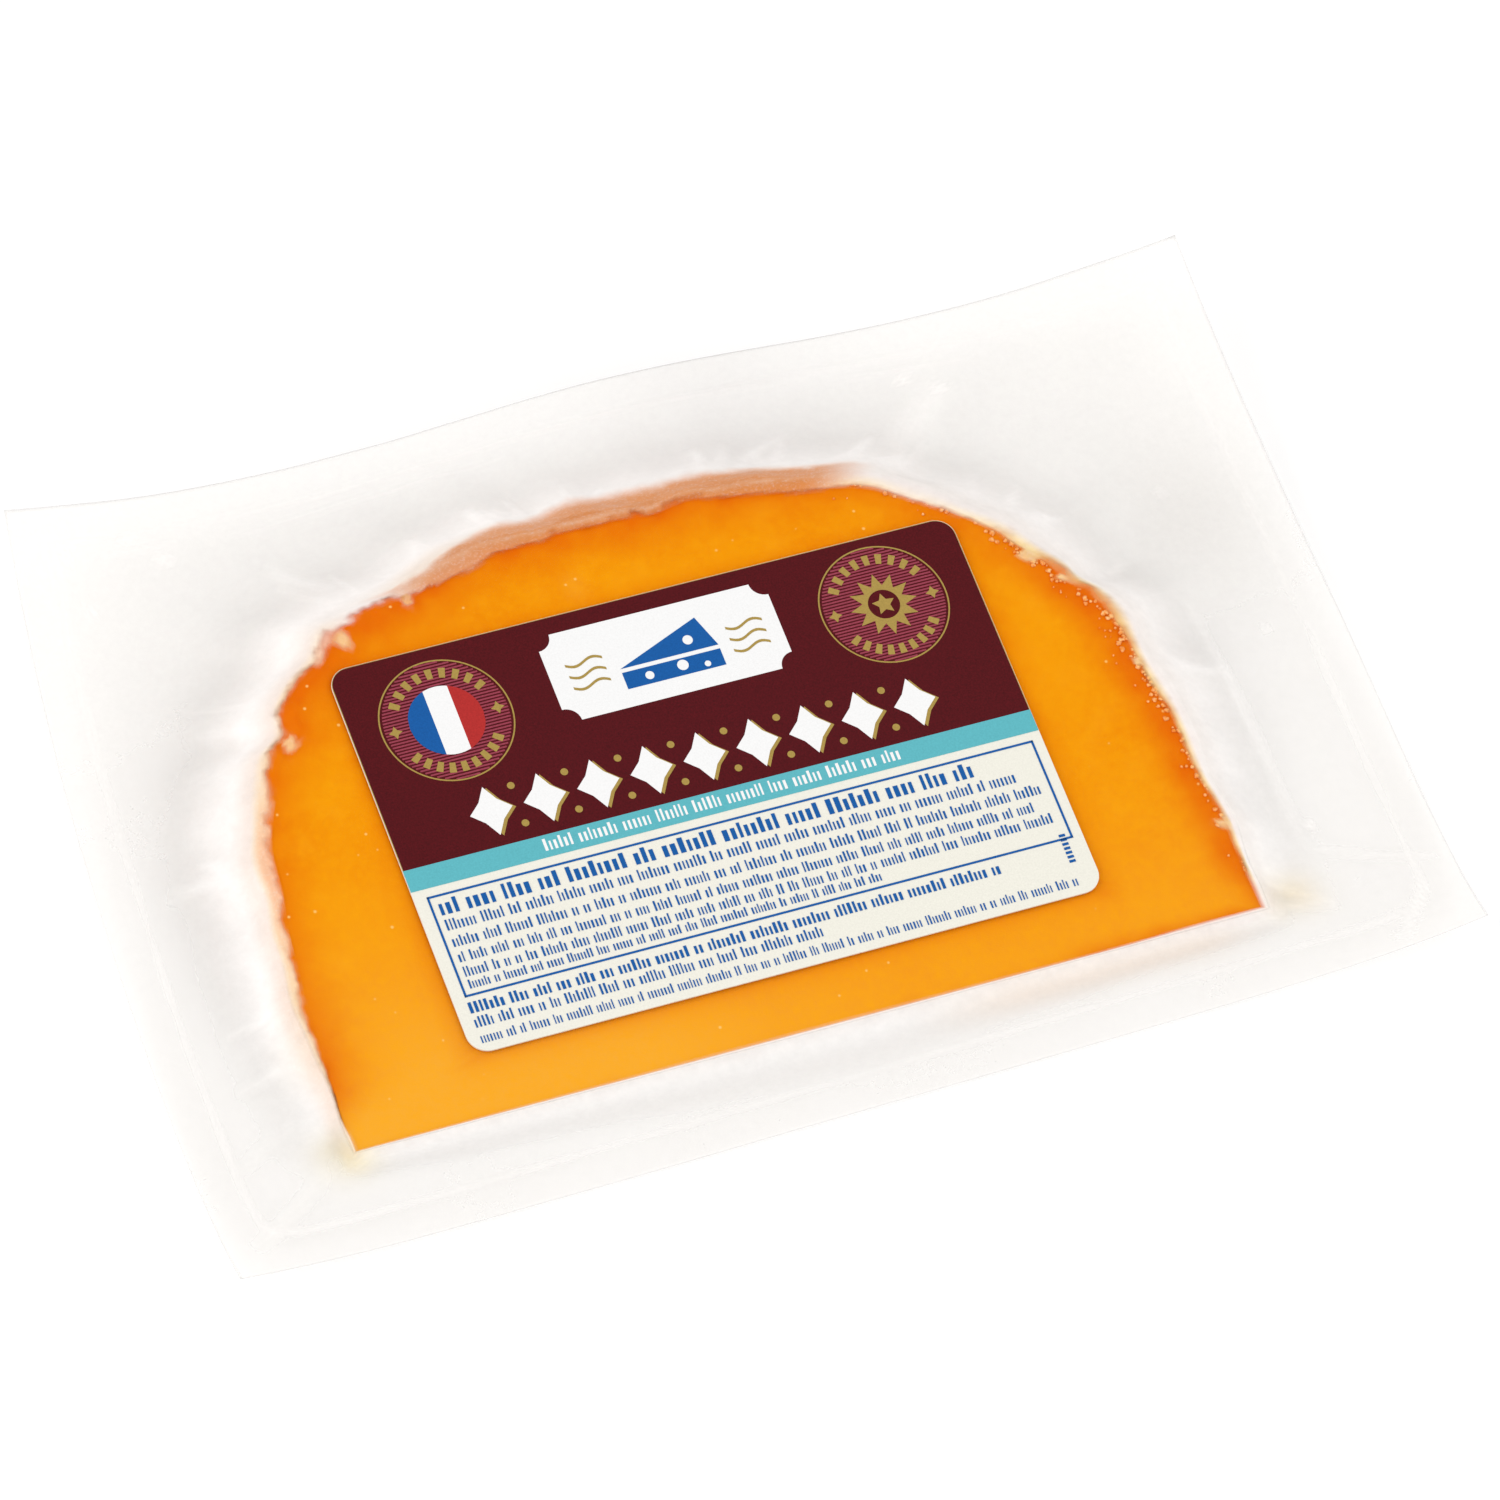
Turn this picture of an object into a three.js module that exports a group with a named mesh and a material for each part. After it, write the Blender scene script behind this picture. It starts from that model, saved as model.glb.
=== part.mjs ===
// A vacuum-packed half-moon wedge of aged mimolette: the cheese, its clear pouch and the paper label.
// Millimetres, +Z up. X runs along the straight cut edge, and Y points from it to the round rind.
// The origin is the middle of the pack's footprint, on the surface that the pack lies on.

import * as THREE from 'three';

const { clamp, degToRad, smoothstep } = THREE.MathUtils;

// Cheese: a wedge of a flattened ball, cut through the ball's axis, so its straight edge is thin
const EDGE_MIDDLE_X = -5.3;
const EDGE_Y = -52.4;
const EDGE_HALF_LENGTH = 73.3;
const EDGE_THICKNESS = 1.4;
const ARC_DEPTH = 89.3;
const ARC_POWER = 3;
const WEDGE_ANGLE = degToRad(10);
const RIM_RADIUS = 5;
const RIM_SHARE = 0.36;
const RIND_START = 8;
const HUB_X = EDGE_MIDDLE_X;
const HUB_Y = EDGE_Y + 0.43 * ARC_DEPTH;

// Uneven rim: waves of [count round the hub, size, phase], and bulges and notches at angles round it
const RIM_WAVES = [[7, 0.3, 0.4], [19, 0.25, 1.9], [31, 0.15, 4]];
const RIM_BUMPS = [
  { angle: degToRad(12), height: 1.3, width: degToRad(5) },
  { angle: degToRad(19), height: -0.9, width: degToRad(2) },
  { angle: degToRad(48), height: 1.4, width: degToRad(4) },
  { angle: degToRad(126), height: -1.2, width: degToRad(4) },
  { angle: degToRad(138), height: 1.5, width: degToRad(3) },
  { angle: degToRad(154), height: -2.2, width: degToRad(2.5) },
];

// Rind relief: crossed waves of [count round the hub, rise per mm of height, size]
const RIND_WAVES = [[27, 0.9, 0.3], [34, -0.7, 0.25], [17, 0.4, 0.3]];

// Pouch: two films sealed round a slightly skewed rectangle, whose corners curl up
const POUCH_HALF_X = 103;
const POUCH_HALF_Y = 70;
const POUCH_CORNERS = [[-103, -70], [98.5, -66], [103, 68.3], [-92, 70]];
const SIDE_BULGES = [0, 1.1, -0.9, 2.9];
const FILM_THICKNESS = 0.8;
const FILM_GAP = 0.35;
const SEAL_INSET = 7;
const SEAL_BEAD = 0.4;
const FLANGE_RISE = 4.7;
const HUMP_X = 7.6;
const HUMP_HEIGHT = 5.9;
const HUMP_WIDTH = 41;
const NEAR_CURLS = { left: 3.1, right: 7.5, power: 6 };
const FAR_CURLS = { left: 9.8, right: 7.5, power: 3 };
const TENT_RUN = 2.4;

// Label: a rounded rectangle of paper, level with the cut face
const LABEL_WIDTH = 102;
const LABEL_HEIGHT = 67;
const LABEL_CORNER = 3.2;
const LABEL_THICKNESS = 0.3;
const LABEL_GAP = 0.3;
const LABEL_MIDDLE_X = EDGE_MIDDLE_X - 0.5;
const LABEL_MIDDLE_UP = 43.4;

// Fineness of the meshes
const ROUND_STEPS = 156;
const LOWER_RIM_STEPS = 3;
const UPPER_RIM_STEPS = 4;
const LEVELS_ABOVE_FILM = 2;
const FACE_RINGS = [0.4, 0.75, 0.94];
const TENT_FRACTIONS = [0, 0.08, 0.18, 0.3, 0.48, 0.7, 1];
const UNDERSIDE_FRACTIONS = [0, 0.12, 0.3, 0.6];

function material(name, color, roughness) {
  return new THREE.MeshStandardMaterial({ name, color, roughness, metalness: 0 });
}

const cheeseMaterial = material('cheese', 0xec8a14, 0.45);
const filmMaterial = material('film', 0xf0ece8, 0.2);
const paperMaterial = material('label_paper', 0x5a1522, 0.6);

// Upper cut face, which rises from the straight edge to the rind
function faceHeight(y) {
  return EDGE_THICKNESS + Math.tan(WEDGE_ANGLE) * (y - EDGE_Y);
}

function insideArc(x, y) {
  const across = Math.abs(x - EDGE_MIDDLE_X) / EDGE_HALF_LENGTH;
  const up = (y - EDGE_Y) / ARC_DEPTH;
  return up > 0 && across ** ARC_POWER + up ** ARC_POWER < 1;
}

// Inside the pouch's outline, less an inset: each side is a straight line with a shallow bulge
function insidePouch(x, y, inset) {
  return POUCH_CORNERS.every(([startX, startY], side) => {
    const [endX, endY] = POUCH_CORNERS[(side + 1) % POUCH_CORNERS.length];
    const length = Math.hypot(endX - startX, endY - startY);
    const alongX = (endX - startX) / length;
    const alongY = (endY - startY) / length;
    const part = ((x - startX) * alongX + (y - startY) * alongY) / length;
    const bulge = SIDE_BULGES[side] * (1 - (2 * part - 1) ** 2);
    return alongX * (y - startY) - alongY * (x - startX) + bulge > inset;
  });
}

// Distance from the hub to an outline, by halving
function reach(inside, angle) {
  const accuracy = 1e-4;
  let near = 0;
  let far = POUCH_HALF_X + POUCH_HALF_Y;
  while (far - near > accuracy) {
    const middle = (near + far) / 2;
    if (inside(HUB_X + middle * Math.cos(angle), HUB_Y + middle * Math.sin(angle))) {
      near = middle;
    } else {
      far = middle;
    }
  }
  return near;
}

function fromHub(distance, angle) {
  return [HUB_X + distance * Math.cos(angle), HUB_Y + distance * Math.sin(angle)];
}

// Rays round the hub: even steps, and one to each corner of the cheese and the pouch
function rayAngles() {
  const corners = [
    [EDGE_MIDDLE_X - EDGE_HALF_LENGTH, EDGE_Y],
    [EDGE_MIDDLE_X + EDGE_HALF_LENGTH, EDGE_Y],
    ...POUCH_CORNERS,
  ];
  const step = (2 * Math.PI) / ROUND_STEPS;
  const angles = corners.map(([x, y]) => Math.atan2(y - HUB_Y, x - HUB_X));
  for (let i = 0; i < ROUND_STEPS; i += 1) {
    const angle = -Math.PI + (i + 0.5) * step;
    if (angles.slice(0, corners.length).every((corner) => Math.abs(corner - angle) > step / 3)) {
      angles.push(angle);
    }
  }
  return angles.sort((a, b) => a - b);
}

const ANGLES = rayAngles();

// How much of the rind's unevenness applies: none along the thin straight edge
function rindShare(y) {
  return smoothstep(y, EDGE_Y + 1, EDGE_Y + RIND_START);
}

function rimUnevenness(angle) {
  let offset = 0;
  for (const [count, size, phase] of RIM_WAVES) {
    offset += size * Math.sin(count * angle + phase);
  }
  for (const { angle: middle, height, width } of RIM_BUMPS) {
    offset += height * Math.exp(-(((angle - middle) / width) ** 2));
  }
  return offset;
}

// Outline of the cut faces, as a distance from the hub
function rimReach(angle) {
  const smooth = reach(insideArc, angle);
  const [, y] = fromHub(smooth, angle);
  return smooth + rindShare(y) * rimUnevenness(angle);
}

function rindRelief(angle, z) {
  let offset = 0;
  for (const [count, rise, size] of RIND_WAVES) {
    offset += size * Math.sin(count * angle + rise * z);
  }
  return offset;
}

// The rind's profile on one ray, from the lower face's rim to the upper face's rim
function rindProfile(angle) {
  const rim = rimReach(angle);
  const [, y] = fromHub(rim, angle);
  const thickness = faceHeight(y);
  const radius = Math.min(RIM_RADIUS, RIM_SHARE * thickness);
  const turns = [];
  for (let i = 0; i <= LOWER_RIM_STEPS; i += 1) {
    const turn = (Math.PI / 2) * (i / LOWER_RIM_STEPS);
    turns.push([turn, radius * (1 - Math.cos(turn))]);
  }
  for (let i = UPPER_RIM_STEPS; i >= 0; i -= 1) {
    const turn = (Math.PI / 2) * (i / UPPER_RIM_STEPS);
    turns.push([turn, thickness - radius * (1 - Math.cos(turn))]);
  }
  return turns.map(([turn, z]) => {
    const relief = rindShare(y) * rindRelief(angle, z) * Math.sin(turn);
    return { distance: rim + radius * Math.sin(turn) + relief, z };
  });
}

const RIND_PROFILES = ANGLES.map(rindProfile);

// A skin over rings of points that run the same way round the hub. The rings rise from a pole below
// the first to one above the last, or without poles they close on each other round a hole, rising
// along the hole's wall. Both kinds split a wall's squares along the same diagonal.
function skin(rings, poles) {
  const count = ANGLES.length;
  const positions = rings.flat(2);
  const index = [];
  const lastStrip = poles ? rings.length - 1 : rings.length;
  for (let ring = 0; ring < lastStrip; ring += 1) {
    const here = ring * count;
    const next = ((ring + 1) % rings.length) * count;
    for (let i = 0; i < count; i += 1) {
      const j = (i + 1) % count;
      if (poles) {
        index.push(here + i, here + j, next + j, here + i, next + j, next + i);
      } else {
        index.push(here + i, next + j, here + j, here + i, next + i, next + j);
      }
    }
  }
  if (poles) {
    positions.push(...poles[0], ...poles[1]);
    const lower = rings.length * count;
    const last = (rings.length - 1) * count;
    for (let i = 0; i < count; i += 1) {
      const j = (i + 1) % count;
      index.push(lower, j, i, last + i, last + j, lower + 1);
    }
  }
  const geometry = new THREE.BufferGeometry();
  geometry.setAttribute('position', new THREE.Float32BufferAttribute(positions, 3));
  geometry.setIndex(index);
  geometry.computeVertexNormals();
  return geometry;
}

// One ring of a cut face, inside its rim
function faceRing(fraction, height) {
  return ANGLES.map((angle, i) => {
    const [x, y] = fromHub(fraction * RIND_PROFILES[i][0].distance, angle);
    return [x, y, height(y)];
  });
}

function cheeseGeometry() {
  const flat = () => 0;
  const rings = FACE_RINGS.map((fraction) => faceRing(fraction, flat));
  const levels = RIND_PROFILES[0].length;
  for (let level = 0; level < levels; level += 1) {
    rings.push(ANGLES.map((angle, i) => {
      const { distance, z } = RIND_PROFILES[i][level];
      return [...fromHub(distance, angle), z];
    }));
  }
  for (const fraction of FACE_RINGS.toReversed()) {
    rings.push(faceRing(fraction, faceHeight));
  }
  return skin(rings, [[HUB_X, HUB_Y, 0], [HUB_X, HUB_Y, faceHeight(HUB_Y)]]);
}

// Middle of the sealed film: near the surface at the straight edge, higher behind the rind, and
// curled up at the corners
function flangeHeight(x, y) {
  const curls = y > 0 ? FAR_CURLS : NEAR_CURLS;
  const lift = x > 0 ? curls.right : curls.left;
  const corner = Math.abs(x / POUCH_HALF_X) * Math.abs(y / POUCH_HALF_Y);
  const hump = Math.exp(-(((x - HUMP_X) / HUMP_WIDTH) ** 2)) * smoothstep(y, 0, POUCH_HALF_Y);
  const rise = FLANGE_RISE * smoothstep(y, EDGE_Y, POUCH_HALF_Y);
  return FILM_THICKNESS / 2 + rise + HUMP_HEIGHT * hump + lift * corner ** curls.power;
}

// Height of one film: it leaves the cheese at startZ and meets the flange in a hollow curve
function tentHeight(x, y, side, start, distance) {
  const flange = flangeHeight(x, y) + (side * FILM_THICKNESS) / 2;
  const [startX, startY] = start.point;
  const step = start.z - flangeHeight(startX, startY) - (side * FILM_THICKNESS) / 2;
  const run = 1 + TENT_RUN * Math.abs(step);
  return flange + step * clamp(1 - distance / run, 0, 1) ** 2;
}

// The pouch's section on one ray: up the rind, over the film, round the outer edge and back under it
function pouchSection(angle, profile) {
  const outer = reach((x, y) => insidePouch(x, y, 0), angle);
  const seal = reach((x, y) => insidePouch(x, y, SEAL_INSET), angle);
  const wall = profile
    .slice(1, -LEVELS_ABOVE_FILM)
    .map(({ distance, z }) => ({ distance: distance + FILM_GAP, z }));
  const low = wall[0];
  const high = wall.at(-1);
  const sample = (distance, side, bead) => {
    const from = side < 0 ? low : high;
    const [x, y] = fromHub(distance, angle);
    const start = { point: fromHub(from.distance, angle), z: from.z };
    return [x, y, tentHeight(x, y, side, start, distance - from.distance) + bead];
  };
  const underRun = outer - low.distance;
  const overRun = seal - 1 - high.distance;
  const under = UNDERSIDE_FRACTIONS.map((part) => sample(low.distance + part * underRun, -1, 0));
  const over = TENT_FRACTIONS.map((part) => sample(high.distance + part * overRun, 1, 0));
  return [
    ...wall.slice(1, -1).map(({ distance, z }) => [...fromHub(distance, angle), z]),
    ...over,
    sample(seal, 1, SEAL_BEAD),
    sample(seal + 1, 1, 0),
    sample(outer, 1, 0),
    sample(outer, -1, 0),
    ...under.toReversed(),
  ];
}

function pouchGeometry() {
  const sections = ANGLES.map((angle, i) => pouchSection(angle, RIND_PROFILES[i]));
  const rings = sections[0].map((_, k) => sections.map((section) => section[k]));
  return skin(rings, null);
}

function labelGeometry() {
  const right = LABEL_WIDTH / 2;
  const top = LABEL_HEIGHT / 2;
  const quarter = Math.PI / 2;
  const shape = new THREE.Shape();
  shape.absarc(right - LABEL_CORNER, top - LABEL_CORNER, LABEL_CORNER, 0, quarter);
  shape.absarc(LABEL_CORNER - right, top - LABEL_CORNER, LABEL_CORNER, quarter, 2 * quarter);
  shape.absarc(LABEL_CORNER - right, LABEL_CORNER - top, LABEL_CORNER, 2 * quarter, 3 * quarter);
  shape.absarc(right - LABEL_CORNER, LABEL_CORNER - top, LABEL_CORNER, 3 * quarter, 4 * quarter);
  const settings = { depth: LABEL_THICKNESS, bevelEnabled: false, curveSegments: 6 };
  return new THREE.ExtrudeGeometry(shape, settings);
}

function mesh(name, geometry, look) {
  const piece = new THREE.Mesh(geometry, look);
  piece.name = name;
  return piece;
}

const label = mesh('label', labelGeometry(), paperMaterial);
label.rotation.x = WEDGE_ANGLE;
label.position.set(
  LABEL_MIDDLE_X,
  EDGE_Y + LABEL_MIDDLE_UP * Math.cos(WEDGE_ANGLE) - LABEL_GAP * Math.sin(WEDGE_ANGLE),
  EDGE_THICKNESS + LABEL_MIDDLE_UP * Math.sin(WEDGE_ANGLE) + LABEL_GAP * Math.cos(WEDGE_ANGLE),
);

const pack = new THREE.Group();
pack.add(mesh('cheese', cheeseGeometry(), cheeseMaterial));
pack.add(mesh('pouch', pouchGeometry(), filmMaterial));
pack.add(label);

export default pack;
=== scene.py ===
"""Dresses a vacuum-packed wedge of aged mimolette: the cheese, its clear pouch and the printed label.

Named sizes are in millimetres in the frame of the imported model, and mesh_piece() turns them into
metres. X runs along the straight cut edge, Y from it to the round rind, and Z up.
"""

import math
import random

import bpy
import numpy as np
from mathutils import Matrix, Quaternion, Vector, noise


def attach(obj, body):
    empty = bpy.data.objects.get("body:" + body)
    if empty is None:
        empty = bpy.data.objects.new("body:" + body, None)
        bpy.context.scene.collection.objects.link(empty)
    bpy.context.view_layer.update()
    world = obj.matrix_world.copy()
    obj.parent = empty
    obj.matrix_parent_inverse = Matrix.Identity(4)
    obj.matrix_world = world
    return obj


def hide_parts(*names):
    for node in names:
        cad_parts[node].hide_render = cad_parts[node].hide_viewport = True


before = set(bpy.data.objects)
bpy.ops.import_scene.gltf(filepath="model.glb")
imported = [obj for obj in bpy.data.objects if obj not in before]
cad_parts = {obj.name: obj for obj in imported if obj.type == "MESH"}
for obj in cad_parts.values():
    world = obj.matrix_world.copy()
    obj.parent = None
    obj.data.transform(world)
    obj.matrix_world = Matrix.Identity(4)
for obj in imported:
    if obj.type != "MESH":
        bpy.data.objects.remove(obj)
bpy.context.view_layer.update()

MM = 0.001
random.seed(18)

# Cheese: the outline of its cut faces, the wedge's angle and the rounded rim, as in the solids
EDGE_MIDDLE_X = -5.3
EDGE_Y = -52.4
EDGE_HALF_LENGTH = 73.3
EDGE_THICKNESS = 1.4
ARC_DEPTH = 89.3
ARC_POWER = 3
WEDGE_ANGLE = math.radians(10)
RIM_RADIUS = 5
RIM_SHARE = 0.36
RIND_START = 8
HUB = (EDGE_MIDDLE_X, EDGE_Y + 0.43 * ARC_DEPTH)

# Unevenness of the rim and the rind. Waves of the rim: count round the hub, size and phase. Bumps:
# direction in degrees, height and width. Waves of the rind: count, twist with height, and size.
RIM_WAVES = [(7, 0.3, 0.4), (19, 0.25, 1.9), (31, 0.15, 4)]
RIM_BUMPS = [(12, 1.3, 5), (19, -0.9, 2), (48, 1.4, 4), (126, -1.2, 4), (138, 1.5, 3), (154, -2.2, 2.5)]
RIND_WAVES = [(27, 0.9, 0.3), (34, -0.7, 0.25), (17, 0.4, 0.3)]

# The dressed cheese lies a little inside the solid, so that the film fits between them
CHEESE_SINK = 0.25
FILM_SINK = 0.02

# Pouch: its skewed outline with slightly bulging sides, its two films, and the seal round its edge
POUCH_HALF_X = 103
POUCH_HALF_Y = 70
POUCH_CORNERS = [(-103, -70), (98.5, -66), (103, 68.3), (-92, 70)]
SIDE_BULGES = [0, 1.1, -0.9, 2.9]
SOLID_FILM = 0.8
FILM_THICKNESS = 0.12
FILM_GAP = 0.2
BASE_GAP = 0.02
SEAL_INSET = 6.3
SEAL_ROUNDING = 2.2

# The sealed film rises from the straight edge to the far side, with a hump behind the cheese
FLANGE_RISE = 4.7
HUMP_X = 7.6
HUMP_HEIGHT = 5.9
HUMP_WIDTH = 41

# Curled corners: how high the left and the right one rise, and how sharply
NEAR_CURLS = (3.1, 7.5, 6)
FAR_CURLS = (9.8, 7.5, 3)

# The film leaves the rounded rim at this turn, and runs this many times its drop before it is flat
TENT_START = math.radians(45)
TENT_RUN = 2.4

# Creases of the film: start, end, width, height, bow
CREASES = [
    ((79, 6), (78.4, -43), 0.9, 0.16, 0.8),
    ((78.4, -43), (97.5, -51.5), 0.7, 0.16, -0.5),
    ((93.6, -54.3), (85.3, -64.5), 0.5, 0.14, 0.3),
    ((69.4, -47.5), (79, -54.5), 0.8, 0.18, 0),
    ((70, -52.4), (79, -54.6), 0.8, 0.16, 0),
    ((72.6, 15.3), (68, 11.6), 1.0, 0.14, 0.3),
    ((-79.8, 60.5), (-67, 59.9), 0.5, 0.12, 0.1),
    ((-60.6, 59.2), (-14, 59.3), 0.5, 0.12, 0.4),
    ((14, 61.5), (38, 60.5), 0.6, 0.12, 0),
    ((40, 59), (64, 58.5), 0.4, 0.1, 0.3),
    ((-83, -53), (-99, -65), 1.6, 0.12, 0.5),
    ((-84, -44), (-96, -51), 1.4, 0.1, -0.6),
    ((-82, -34), (-92, -37), 1.0, 0.14, 0.4),
    ((-48, 42), (-56, 52), 1.4, 0.2, 0.8),
    ((44, 42), (58, 55), 2.2, 0.25, 1.0),
    ((20, 46), (30, 50), 1.2, 0.2, 0.6),
    ((-20.4, 42.5), (-24.2, 50.2), 0.9, 0.3, 0.6),
    ((-18.2, 43), (-21, 48.4), 0.8, -0.2, -0.4),
    ((12.4, 42.2), (13.6, 50.8), 0.9, 0.3, -0.5),
    ((35.1, 37.7), (42.5, 46.5), 1.0, 0.3, 0.8),
]
RIM_CREASES = 64

# Blisters in the sealed film, made pale by a painted glare: middle and radius
BLISTERS = [
    ((-74.8, 62.2), 1.3), ((-85.1, 61.2), 1.4), ((-70.3, 57.6), 1.7), ((-84.2, 51.3), 1.0),
    ((83.4, 26), 1.1), ((89.3, -3), 0.9), ((81, -39.3), 1.2), ((52, 57), 1.5), ((57, 54), 1.2),
]

# Milky smears where the film has lifted a little from the face, by the rim: middle and size
SMEARS = [
    ((-40.5, 32), 1.1), ((-52, 28), 1.9), ((-66, 13.5), 1.6),
    ((54.4, 14), 1.5), ((58.6, 9), 1.1), ((64.5, -8), 1.1), ((67.5, -37), 1.4),
]

# Where the film lifts from the cheese sooner than elsewhere, or later where it is negative: middle
# and width in degrees round the hub, and how much
FAR_LIFT = [(53, 15, 1.8), (104, 7, 0.35), (117, 6.5, 1.6)]
RIGHT_LIFT = [(44, 8, 0.5), (18, 9, -0.7)]
LEFT_LIFT = [(150, 11, -0.6), (-160, 8, -0.5), (130, 5, -0.3)]

# Milkiest that the film gets, its own colour, and the middle of the painted grey shade on it behind the
# cheese
MOST_HAZE = 0.94
FILM_WHITE = (255, 253, 251)
PAINTED_SHADE_X = HUMP_X + 14

# Crumbs pressed between the film and the face along the right of the rim, with the directions in
# degrees between which they lie and the one where they crowd
CRUMBS = 150
CRUMB_ANGLES = (-25, 56, 8)
CRUMB_SIZES = (0.12, 0.5)
CRUMB_ROUND = 8
CRUMB_RINGS = 4

# Label: a rounded rectangle of paper on the upper cut face
LABEL_WIDTH = 102
LABEL_HEIGHT = 67
LABEL_CORNER = 3.2
LABEL_LEFT = EDGE_MIDDLE_X - 0.5 - LABEL_WIDTH / 2
LABEL_TOP = 43.4 + LABEL_HEIGHT / 2
PAPER_LOW = 0.04
PAPER_HIGH = 0.36
INK = 0.03
BORDER_INSET = 0.05
BORDER_WIDTH = 0.12
BAND_TOP = 35.2
BAND_BOTTOM = 38.9
HATCH_ROWS = 38
RING_MARKS = 9

# Layers of ink from the paper up
BORDER, FIELD, MARK, OVER_MARK, TOP_MARK, LAST_MARK = range(1, 7)

# Lines of small print: left, right, top, size and weight of the marks
PRINT_LINES = [
    (3.3, 90, 41.9, 1.9, 1.7),
    (3.3, 96, 45.1, 1.35, 1),
    (3.3, 98.5, 48, 1.3, 1),
    (3.3, 97, 50.7, 1.25, 1),
    (3.3, 99, 53.2, 1.25, 1),
    (3.3, 70, 55.4, 1.1, 1),
    (2, 88, 59.1, 1.35, 1.5),
    (2, 58, 61.6, 1.3, 1),
    (2, 100, 64.4, 1.15, 0.85),
]

# Photograph's viewpoint
CAMERA_AZIMUTH = math.radians(-27.73)
CAMERA_ELEVATION = math.radians(51.6)
CAMERA_ROLL = math.radians(7.95)
CAMERA_DISTANCE = 1400
CAMERA_AIM = (3.08, -2.48, 4.4)
CAMERA_LENS = 221
CAMERA_SENSOR = 36

# Strength of the even light from all round
STUDIO_STRENGTH = 0.75

# Rays and rings of the meshes
ROUND_STEPS = 640
HALVINGS = 24
POLE_INSET = 60
UNDERSIDE_PARTS = (0.25, 0.5, 0.72, 0.86, 0.94, 0.98)
LOWER_TURNS = 8
UPPER_TURNS = 14
FACE_PARTS = 1 - np.concatenate([np.linspace(0.006, 0.1, 14), np.linspace(0.12, 0.92, 20)])
LOOSE_PARTS = np.concatenate([np.linspace(0, 0.24, 19)[:-1], np.linspace(0.24, 1, 38)])
CLINGING_TURNS = 8
CLINGING_INSETS = (0.5, 1, 1.6, 2.4, 3.5, 5, 8, 14, 24, 36)


def smoothstep(value, start, end):
    part = np.clip((value - start) / (end - start), 0, 1)
    return part * part * (3 - 2 * part)


def bell(value, middle, width):
    return np.exp(-(((value - middle) / width) ** 2))


def bells(value, parts):
    """A sum of bells, each with its middle, width and height."""
    return sum(height * bell(value, middle, width) for middle, width, height in parts)


def noise_at(x, y, z, size):
    """Smooth noise from -1 to 1 whose bumps are about size millimetres across."""
    x, y, z = np.broadcast_arrays(x, y, z)
    points = np.stack([x, y, z], axis=-1).reshape(-1, 3) / size
    values = [noise.noise(Vector(point)) for point in points.tolist()]
    return np.array(values).reshape(x.shape)


def face_height(y):
    """The upper cut face, which rises from the straight edge to the rind."""
    return EDGE_THICKNESS + math.tan(WEDGE_ANGLE) * (y - EDGE_Y)


def inside_arc(x, y):
    across = np.abs(x - EDGE_MIDDLE_X) / EDGE_HALF_LENGTH
    up = (y - EDGE_Y) / ARC_DEPTH
    return (up > 0) & (across**ARC_POWER + np.abs(up) ** ARC_POWER < 1)


def side_insets(x, y):
    """How far points lie in from each side of the pouch, whose sides bulge a little."""
    insets = []
    for side, (start_x, start_y) in enumerate(POUCH_CORNERS):
        end_x, end_y = POUCH_CORNERS[(side + 1) % len(POUCH_CORNERS)]
        length = math.hypot(end_x - start_x, end_y - start_y)
        along_x = (end_x - start_x) / length
        along_y = (end_y - start_y) / length
        part = ((x - start_x) * along_x + (y - start_y) * along_y) / length
        bulge = SIDE_BULGES[side] * (1 - (2 * part - 1) ** 2)
        insets.append(along_x * (y - start_y) - along_y * (x - start_x) + bulge)
    return np.stack(insets)


def inside_pouch(x, y):
    return side_insets(x, y).min(axis=0) > 0


def rounded_inset(x, y):
    """Distance in from the pouch's edge, with level lines that round its corners."""
    insets = side_insets(x, y)
    return -SEAL_ROUNDING * np.log(np.exp(-insets / SEAL_ROUNDING).sum(axis=0))


def from_hub(distance, angle):
    return HUB[0] + distance * np.cos(angle), HUB[1] + distance * np.sin(angle)


def reach(inside, angle):
    """Distance from the hub to an outline, by halving."""
    near = np.zeros_like(angle)
    far = np.full_like(angle, POUCH_HALF_X + POUCH_HALF_Y)
    for _ in range(HALVINGS):
        middle = (near + far) / 2
        within = inside(*from_hub(middle, angle))
        near = np.where(within, middle, near)
        far = np.where(within, far, middle)
    return near


def ray_angles():
    """Even rays round the hub, and one to each corner of the cheese and the pouch."""
    edge_ends = [(EDGE_MIDDLE_X + side * EDGE_HALF_LENGTH, EDGE_Y) for side in (-1, 1)]
    corners = [math.atan2(y - HUB[1], x - HUB[0]) for x, y in edge_ends + POUCH_CORNERS]
    step = 2 * math.pi / ROUND_STEPS
    even = [-math.pi + (i + 0.5) * step for i in range(ROUND_STEPS)]
    kept = [a for a in even if all(abs(a - corner) > step / 3 for corner in corners)]
    return np.array(sorted(kept + corners))


ANGLES = ray_angles()
SMOOTH_RIM = reach(inside_arc, ANGLES)
OUTER = reach(inside_pouch, ANGLES)


def rim_unevenness():
    offset = sum(size * np.sin(count * ANGLES + phase) for count, size, phase in RIM_WAVES)
    for middle, height, width in RIM_BUMPS:
        offset = offset + height * bell(np.degrees(ANGLES), middle, width)
    return offset


RIND_SHARE = smoothstep(from_hub(SMOOTH_RIM, ANGLES)[1], EDGE_Y + 1, EDGE_Y + RIND_START)
RIM = SMOOTH_RIM + RIND_SHARE * rim_unevenness()
THICKNESS = face_height(from_hub(RIM, ANGLES)[1])
SHOULDER = np.minimum(RIM_RADIUS, RIM_SHARE * THICKNESS)


def rind_relief(z):
    return sum(size * np.sin(count * ANGLES + rise * z) for count, rise, size in RIND_WAVES)


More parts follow.
